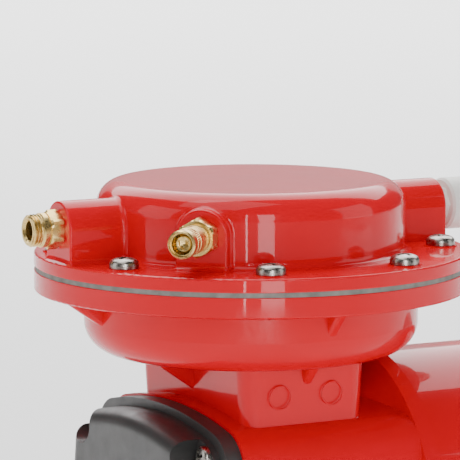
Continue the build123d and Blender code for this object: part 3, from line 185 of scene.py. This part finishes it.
materials = {
    "red_paint": finish_material(
        "red_enamel",
        (0.60, 0.0, 0.008),
        (0.68, 0.0, 0.012),
        (0.16, 0.26),
        coat=0.42,
        coat_rough=0.03,
        patch=9.0,
        grain=((70.0, 0.0006, 0.10), (420.0, 0.00008, 0.10)),
    ),
    "brass": finish_material(
        "machined_brass",
        (0.66, 0.45, 0.15),
        (0.80, 0.60, 0.25),
        (0.24, 0.36),
        metallic=1.0,
        patch=220.0,
        grain=((1800.0, 0.00001, 0.25),),
    ),
    "nickel_steel": finish_material(
        "worn_nickel",
        (0.22, 0.205, 0.185),
        (0.42, 0.395, 0.36),
        (0.22, 0.36),
        metallic=1.0,
        patch=300.0,
        grain=((1500.0, 0.00001, 0.3),),
    ),
    "zinc_steel": finish_material(
        "zinc_plate", (0.50, 0.50, 0.47), (0.66, 0.66, 0.62), (0.28, 0.45), metallic=1.0, patch=150.0
    ),
    "spring_steel": finish_material(
        "ground_steel", (0.48, 0.48, 0.49), (0.62, 0.62, 0.63), (0.15, 0.28), metallic=1.0, patch=120.0
    ),
    "aluminium": finish_material(
        "cast_aluminium",
        (0.62, 0.62, 0.63),
        (0.76, 0.76, 0.77),
        (0.32, 0.5),
        metallic=1.0,
        patch=60.0,
        grain=((700.0, 0.00012, 0.5),),
    ),
    "cast_iron": finish_material(
        "grey_iron", (0.10, 0.10, 0.10), (0.17, 0.16, 0.15), (0.5, 0.7), metallic=0.8, patch=90.0
    ),
    "lamination": finish_material(
        "sheet_stack", (0.22, 0.22, 0.23), (0.34, 0.34, 0.35), (0.35, 0.5), metallic=1.0, patch=120.0
    ),
    "copper": finish_material(
        "enamelled_copper",
        (0.45, 0.14, 0.05),
        (0.62, 0.24, 0.10),
        (0.2, 0.35),
        metallic=0.9,
        patch=120.0,
        grain=((500.0, 0.0004, 0.8),),
    ),
    "diaphragm_rubber": finish_material(
        "grey_rubber",
        (0.13, 0.125, 0.11),
        (0.24, 0.23, 0.21),
        (0.6, 0.8),
        patch=220.0,
        grain=((1400.0, 0.0001, 0.6),),
    ),
    "foot_rubber": finish_material(
        "black_rubber", (0.012, 0.012, 0.012), (0.028, 0.028, 0.027), (0.6, 0.8), patch=80.0
    ),
    "black_plastic": finish_material(
        "moulded_black",
        (0.030, 0.030, 0.030),
        (0.048, 0.046, 0.044),
        (0.34, 0.48),
        patch=30.0,
        grain=((1600.0, 0.00006, 0.5), (60.0, 0.0003, 0.08)),
    ),
    "gloss_black": finish_material(
        "polished_black", (0.015, 0.015, 0.015), (0.03, 0.03, 0.03), (0.12, 0.2), patch=40.0
    ),
    "white_plastic": finish_material(
        "ivory_plastic", (0.74, 0.73, 0.68), (0.84, 0.83, 0.79), (0.35, 0.5), patch=60.0
    ),
    "felt": finish_material(
        "pressed_felt",
        (0.55, 0.53, 0.47),
        (0.75, 0.72, 0.65),
        (0.9, 1.0),
        patch=400.0,
        grain=((1200.0, 0.0006, 0.9),),
    ),
    "capacitor_can": finish_material(
        "capacitor_shell", (0.55, 0.55, 0.53), (0.66, 0.66, 0.64), (0.4, 0.5), patch=50.0
    ),
    "black_steel": finish_material(
        "satin_black_paint",
        (0.014, 0.014, 0.015),
        (0.03, 0.03, 0.03),
        (0.3, 0.42),
        coat=0.4,
        coat_rough=0.2,
        patch=30.0,
    ),
}

for entry in record["subparts"]:
    node = nodes[entry["node"]]
    for index in range(len(node.material_slots)):
        node.material_slots[index].link = "OBJECT"
        node.material_slots[index].material = materials[entry["material_slot"]]


# ---- Mesh making
def frame_along(origin, direction, up=Vector((0, 0, 1))):
    """Matrix whose local z is the direction and whose local y is near up."""
    z = direction.normalized()
    x = up.cross(z).normalized()
    y = z.cross(x)
    turned = Matrix((x, y, z)).transposed().to_4x4()
    turned.translation = origin
    return turned


def lathe_mesh(profile, segments, radius_at=None):
    """bmesh of a closed (radius, distance) profile turned about z.

    radius_at changes a point's radius from (index in the profile, radius, distance, angle).
    """
    bm = bmesh.new()
    rings = []
    for index, (radius, distance) in enumerate(profile):
        points = []
        for step in range(segments):
            angle = 2 * pi * step / segments
            r = radius_at(index, radius, distance, angle) if radius_at else radius
            points.append(bm.verts.new((r * cos(angle), r * sin(angle), distance)))
        rings.append(points)
    count = len(rings)
    for index in range(count):
        ring, following = rings[index], rings[(index + 1) % count]
        for step in range(segments):
            after = (step + 1) % segments
            bm.faces.new((ring[step], ring[after], following[after], following[step]))
    bmesh.ops.recalc_face_normals(bm, faces=bm.faces)
    return bm


def closed_profile(outer, inner=0.00005):
    """Outer (radius, distance) points closed along the axis by a hair-thin core."""
    return outer + [(inner, outer[-1][1]), (inner, outer[0][1])]


def to_object(name, bm, material, place, sharp=35.0):
    """Object from a bmesh, with its place applied to the mesh, smooth but for its sharp edges."""
    mesh = bpy.data.meshes.new(name)
    bm.transform(place)
    limit = radians(sharp)
    for face in bm.faces:
        face.smooth = True
    for edge in bm.edges:
        if len(edge.link_faces) == 2 and edge.calc_face_angle(0) > limit:
            edge.smooth = False
    bm.to_mesh(mesh)
    bm.free()
    mesh.materials.append(material)
    piece = bpy.data.objects.new(name, mesh)
    bpy.context.scene.collection.objects.link(piece)
    return piece


def merge(target, source, place=None):
    """Move one bmesh into another, at a place."""
    mesh = bpy.data.meshes.new("part")
    if place:
        source.transform(place)
    source.to_mesh(mesh)
    target.from_mesh(mesh)
    source.free()
    bpy.data.meshes.remove(mesh)


def hexagon_radius(across, limit):
    """Radius function of a hexagon that is turned down to a limit at each profile point."""

    def radius_at(index, radius, distance, angle):
        sector = (angle + pi / 6) % (pi / 3) - pi / 6
        return min(across / 2 / cos(sector), limit[index]) if limit[index] else radius

    return radius_at


def hex_ring(across, start, end, bore, bevel=0.7 * MM):
    """Hexagon with turned-off corners and a round bore, as a bmesh."""
    corner = across / 2 / cos(pi / 6)
    flat = across / 2
    profile = [
        (bore, start),
        (flat, start),
        (corner, start + bevel),
        (corner, end - bevel),
        (flat, end),
        (bore, end),
    ]
    limit = [0, flat, corner, corner, flat, 0]
    return lathe_mesh(profile, 96, hexagon_radius(across, limit))


def arc_points(centre, radius, start, end, steps):
    """Points of an arc in (radius, distance), angles in degrees from the radius axis."""
    angles = [radians(start + (end - start) * step / steps) for step in range(steps + 1)]
    return [(centre[0] + radius * cos(angle), centre[1] + radius * sin(angle)) for angle in angles]


# ---- Brass outlet: hexagon, collar and a real pipe thread
def threaded_outlet():
    """Outlet fitting with a bore, pointing away from its boss."""
    hex_end, collar_end = 5.7 * MM, 8.7 * MM
    length = outlet_face.y - outlet_low.y
    bore = 4.0 * MM
    crest, depth, pitch = 6.58 * MM, 0.80 * MM, 1.337 * MM
    body = hex_ring(HEX_ACROSS, 0, hex_end, bore)
    collar = [
        (bore, hex_end - 0.2 * MM),
        (6.4 * MM, hex_end - 0.2 * MM),
        (6.4 * MM, hex_end + 0.35 * MM),
        (6.98 * MM, hex_end + 0.6 * MM),
        (6.98 * MM, collar_end - 0.4 * MM),
        (6.6 * MM, collar_end),
        (bore, collar_end),
    ]
    merge(body, lathe_mesh(collar, 96))
    steps = 70
    thread_start = collar_end - 0.1 * MM
    thread_length = length - collar_end + 0.1 * MM
    outer = [(crest, thread_start + thread_length * i / steps) for i in range(steps + 1)]
    profile = [(bore, outer[0][1])] + outer + [(bore + 0.8 * MM, length), (bore, length - 1 * MM)]

    def thread(index, radius, distance, angle):
        """Radius of the ridge, shallow where it runs out at the collar and bevelled at the mouth."""
        if not 1 <= index <= steps + 1:
            return radius
        turn = (distance / pitch - angle / (2 * pi)) % 1
        wave = min(1.0, max(0.0, 1.25 - abs(turn - 0.5) * 3.2))
        lead = min(1.0, (distance - collar_end) / (0.9 * pitch)) if distance > collar_end else 0.0
        mouth = max(0.0, distance - (length - 0.7 * MM))
        return min(crest - depth * (1 - wave) * max(lead, 0.6), crest - mouth)

    merge(body, lathe_mesh(profile, 96, thread))
    stub = [
        (bore, -STUB_LENGTH),
        (STUB_RADIUS, -STUB_LENGTH),
        (STUB_RADIUS, STUB_LAP),
        (bore, STUB_LAP),
    ]
    merge(body, lathe_mesh(stub, 64))
    place = frame_along(outlet_face, outlet_out)
    return to_object("brass_outlet", body, materials["brass"], place, TURNED_SHARP)


outlet = threaded_outlet()
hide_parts("outlet_fitting")
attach(outlet, "housing")


# ---- Relief valve body: hexagon, turned body with a knurled ring, open mouth
def relief_body():
    """Relief valve's body, pointing away from its boss."""
    bore = 4.2 * MM
    hex_end, end = 7.0 * MM, 26.0 * MM
    body = hex_ring(HEX_ACROSS, 0, hex_end, bore)
    knurl_start, knurl_end = 17.5 * MM, 21.0 * MM
    profile = [
        (bore, hex_end - 0.2 * MM),
        (5.2 * MM, hex_end - 0.2 * MM),
        (5.2 * MM, hex_end + 0.8 * MM),
        (5.65 * MM, hex_end + 1.2 * MM),
        (5.65 * MM, knurl_start - 0.5 * MM),
        (5.3 * MM, knurl_start - 0.3 * MM),
        (5.3 * MM, knurl_start),
        (5.74 * MM, knurl_start + 0.2 * MM),
        (5.74 * MM, knurl_end - 0.2 * MM),
        (5.3 * MM, knurl_end),
        (5.3 * MM, knurl_end + 0.4 * MM),
        (5.7 * MM, knurl_end + 0.7 * MM),
        (5.7 * MM, end - 0.7 * MM),
        (5.1 * MM, end),
        (4.95 * MM, end),
        (4.75 * MM, end - 0.3 * MM),
        (4.75 * MM, end - 1.5 * MM),
        (bore, end - 1.5 * MM),
    ]
    knurled_points = (7, 8)
    teeth, tooth_depth = 44, 0.22 * MM

    def knurled(index, radius, distance, angle):
        """Radius with teeth round the knurled ring."""
        if index in knurled_points:
            return radius - tooth_depth * (0.5 + 0.5 * cos(teeth * angle))
        return radius

    merge(body, lathe_mesh(profile, teeth * 6, knurled))
    seat, seat_depth = 2 * MM, -2 * MM
    stub = [
        (seat, -STUB_LENGTH),
        (STUB_RADIUS, -STUB_LENGTH),
        (STUB_RADIUS, STUB_LAP),
        (bore, STUB_LAP),
        (seat, seat_depth),
    ]
    merge(body, lathe_mesh(stub, 64))
    place = frame_along(relief_face, relief_out)
    return to_object("brass_relief_valve", body, materials["brass"], place, TURNED_SHARP)


relief = relief_body()
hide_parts("relief_valve_body")
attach(relief, "housing")


# ---- Relief adjuster: slim front, wider threaded back, hexagon socket
def adjuster_screw():
    """Adjuster about the middle of its CAD node, its socket outwards."""
    start, end = -2.5 * MM, 2.5 * MM
    socket, floor_at = 2.0 * MM, 0.3 * MM
    socket_corner = socket / cos(pi / 6)
    socket_points = (8, 9)
    profile = [
        (0.05 * MM, start),
        (3.9 * MM, start),
        (4.15 * MM, start + 0.3 * MM),
        (4.15 * MM, start + 1.6 * MM),
        (3.3 * MM, start + 2.0 * MM),
        (3.3 * MM, end - 0.4 * MM),
        (2.9 * MM, end),
        (socket_corner + 0.1 * MM, end),
        (socket_corner, end - 0.15 * MM),
        (socket_corner, floor_at),
        (0.05 * MM, floor_at - 0.6 * MM),
    ]

    def hexagonal(index, radius, distance, angle):
        """Radius with a hexagon at the socket's walls."""
        if index not in socket_points:
            return radius
        sector = (angle + pi / 6) % (pi / 3) - pi / 6
        return socket / cos(sector)

    body = lathe_mesh(profile, 96, hexagonal)
    place = frame_along(adjuster_middle, relief_out)
    return to_object("relief_adjuster_screw", body, materials["brass"], place, TURNED_SHARP)


adjuster = adjuster_screw()
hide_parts("relief_adjuster")
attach(adjuster, "relief_adjuster")


# ---- Two faint round ejector marks cast on the right face of the neck
def ejector_marks():
    """Two round beads that stand half out of the casting."""
    mark_radius, bead_radius, below_head = 4.75 * MM, 0.28 * MM, 47.5 * MM
    marks = bmesh.new()
    for along in (-13 * MM, 11 * MM):
        ring = arc_points((mark_radius, 0), bead_radius, 0, 345, 11)
        place = Vector((neck_face, head.y + along, head.z - below_head))
        merge(marks, lathe_mesh(ring, 64), frame_along(place, Vector((1, 0, 0))))
    return to_object("neck_ejector_marks", marks, materials["red_paint"], Matrix.Identity(4), 40)


marks = ejector_marks()
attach(marks, "housing")


# ---- Screws: pan heads with a cross recess
def screw_mesh(radius, height, shank, length):
    """bmesh of a pan head screw whose head stands on z = 0."""
    edge = 0.26 * height
    break_edge = 0.25 * MM
    points = [(shank * 0.6, -length), (shank, -length + 0.5 * MM), (shank, 0)]
    points += [(radius - break_edge, 0), (radius, break_edge), (radius, edge)]
    for step in range(1, 13):
        turn = radians(step * 7.4)
        crown = (height - edge) * sin(turn) ** SHOULDER
        points.append((radius * cos(turn) ** SHOULDER, edge + crown))
    blank = lathe_mesh(closed_profile(points), 64)
    cutter = bmesh.new()
    for turn in (0, pi / 2):
        blade = bmesh.new()
        bmesh.ops.create_cube(blade, size=1.0)
        for vert in blade.verts:
            top = vert.co.z > 0
            vert.co.x *= 2 * radius * (0.66 if top else 0.30)
            vert.co.y *= radius * (0.27 if top else 0.18)
            vert.co.z = height * 1.05 if top else height * 0.28
        merge(cutter, blade, Matrix.Rotation(turn, 4, "Z"))
    solid = to_object("screw_blank", blank, materials["nickel_steel"], Matrix.Identity(4))
    tool = to_object("screw_tool", cutter, materials["nickel_steel"], Matrix.Identity(4))
    modifier = solid.modifiers.new("recess", "BOOLEAN")
    modifier.object = tool
    modifier.operation = "DIFFERENCE"
    modifier.solver = "EXACT"
    modifier.use_self = True
    graph = bpy.context.evaluated_depsgraph_get()
    cut = bpy.data.meshes.new_from_object(solid.evaluated_get(graph))
    bm = bmesh.new()
    bm.from_mesh(cut)
    for leftover in (solid, tool):
        bpy.data.objects.remove(leftover)
    return bm


def screw_set(name, node, size, places):
    """One object of identical nickel screws at the given matrices, standing for a CAD node."""
    one = screw_mesh(*size)
    group = bmesh.new()
    for place in places:
        merge(group, one.copy(), place)
    one.free()
    piece = to_object(name, group, materials["nickel_steel"], Matrix.Identity(4), 30)
    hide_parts(node)
    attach(piece, "housing")


# Each screw stopped at its own angle when it was tightened
head_radius, head_height, _ = M6_HEAD
screws_low, screws_high = corners("head_screws")
screw_seat = screws_high.z - head_height
screw_circle = ((screws_high.x - screws_low.x) / 2 - head_radius) / cos(radians(FIRST_SCREW))
recess_turns = (10, 52, 31, 75, 18, 64, 40, 5)
places = []
for number, recess_turn in enumerate(recess_turns):
    angle = radians(FIRST_SCREW + SCREW_STEP * number)
    x, y = head.x + screw_circle * cos(angle), head.y + screw_circle * sin(angle)
    seat = Matrix.Translation((x, y, screw_seat))
    places.append(seat @ Matrix.Rotation(radians(recess_turn), 4, "Z"))
screw_set("head_screws_domed", "head_screws", (*M6_HEAD, screw_seat - screws_low.z), places)

head_radius, head_height, _ = M5_HEAD
cover_low, cover_high = corners("front_cover_screws")
places = []
for x in (cover_low.x + head_radius, cover_high.x - head_radius):
    for z in (cover_low.z + head_radius, cover_high.z - head_radius):
        seat = frame_along(Vector((x, cover_low.y + head_height, z)), Vector((0, -1, 0)))
        places.append(seat @ Matrix.Rotation(x * 20 + z * 9, 4, "Z"))
cover_screw_length = cover_high.y - cover_low.y - head_height
screw_set("cover_screws_domed", "front_cover_screws", (*M5_HEAD, cover_screw_length), places)


# ---- Floor, lights and camera
def plain_floor():
    """Wide pale floor at z = 0."""
    material, tree, shader = shader_tree("pale_floor")
    shader.inputs["Base Color"].default_value = (0.95, 0.95, 0.95, 1)
    shader.inputs["Roughness"].default_value = 0.9
    bpy.ops.mesh.primitive_plane_add(size=30)
    ground = bpy.context.object
    ground.name = "pale_floor"
    ground.data.materials.append(material)


plain_floor()


def softbox(name, place, aim, width, height, watts):
    """Rectangular area light that faces its aim."""
    light = bpy.data.lights.new(name, "AREA")
    light.shape = "RECTANGLE"
    light.size = width
    light.size_y = height
    light.energy = watts
    lamp = bpy.data.objects.new(name, light)
    lamp.location = place
    lamp.rotation_euler = (aim - place).to_track_quat("-Z", "Y").to_euler()
    bpy.context.scene.collection.objects.link(lamp)


def around(azimuth, distance, height):
    """A place round the head, azimuth in degrees from the front towards the right side."""
    turn = radians(azimuth)
    return Vector((head.x + distance * sin(turn), head.y - distance * cos(turn), height))


view_azimuth, view_elevation, view_distance = 61.8, 7.994, 1.405
softbox("overhead", around(20, 0.5, 1.6), head, 1.1, 1.1, 8.5)
softbox("front_panel", around(view_azimuth + 11, 1.3, 0.40), head, 0.28, 0.95, 7.5)
softbox("strip_panel", around(view_azimuth - 3, 1.3, 0.40), head, 0.03, 0.95, 1.6)
softbox("left_fill", around(view_azimuth - 75, 1.6, 0.7), head, 0.9, 1.2, 7)
softbox("right_fill", around(view_azimuth + 85, 1.6, 0.6), head, 0.9, 1.2, 6.5)
behind = view_azimuth + 180
softbox("backdrop_light", around(behind, 5.0, 3.2), around(behind, 5.0, 0.0), 8.0, 7.0, 900)
softbox("horizon_panel", around(behind, 5.5, 1.3), head + Vector((0, 0, 0.3)), 5.0, 1.7, 17)

world = bpy.data.worlds.new("studio")
world.use_nodes = True
world.node_tree.nodes["Background"].inputs["Color"].default_value = (1, 1, 1, 1)
world.node_tree.nodes["Background"].inputs["Strength"].default_value = 0.10
bpy.context.scene.world = world

camera_data = bpy.data.cameras.new("camera")
camera_data.sensor_width = 36.0
camera_data.lens = 264.7
camera_data.shift_x = -0.0454
camera_data.shift_y = 0.0735
camera = bpy.data.objects.new("camera", camera_data)
azimuth, elevation = radians(view_azimuth), radians(view_elevation)
back = Vector((sin(azimuth) * cos(elevation), -cos(azimuth) * cos(elevation), sin(elevation)))
camera.location = head + back * view_distance
camera.rotation_euler = (-back).to_track_quat("-Z", "Y").to_euler()
bpy.context.scene.collection.objects.link(camera)
bpy.context.scene.camera = camera
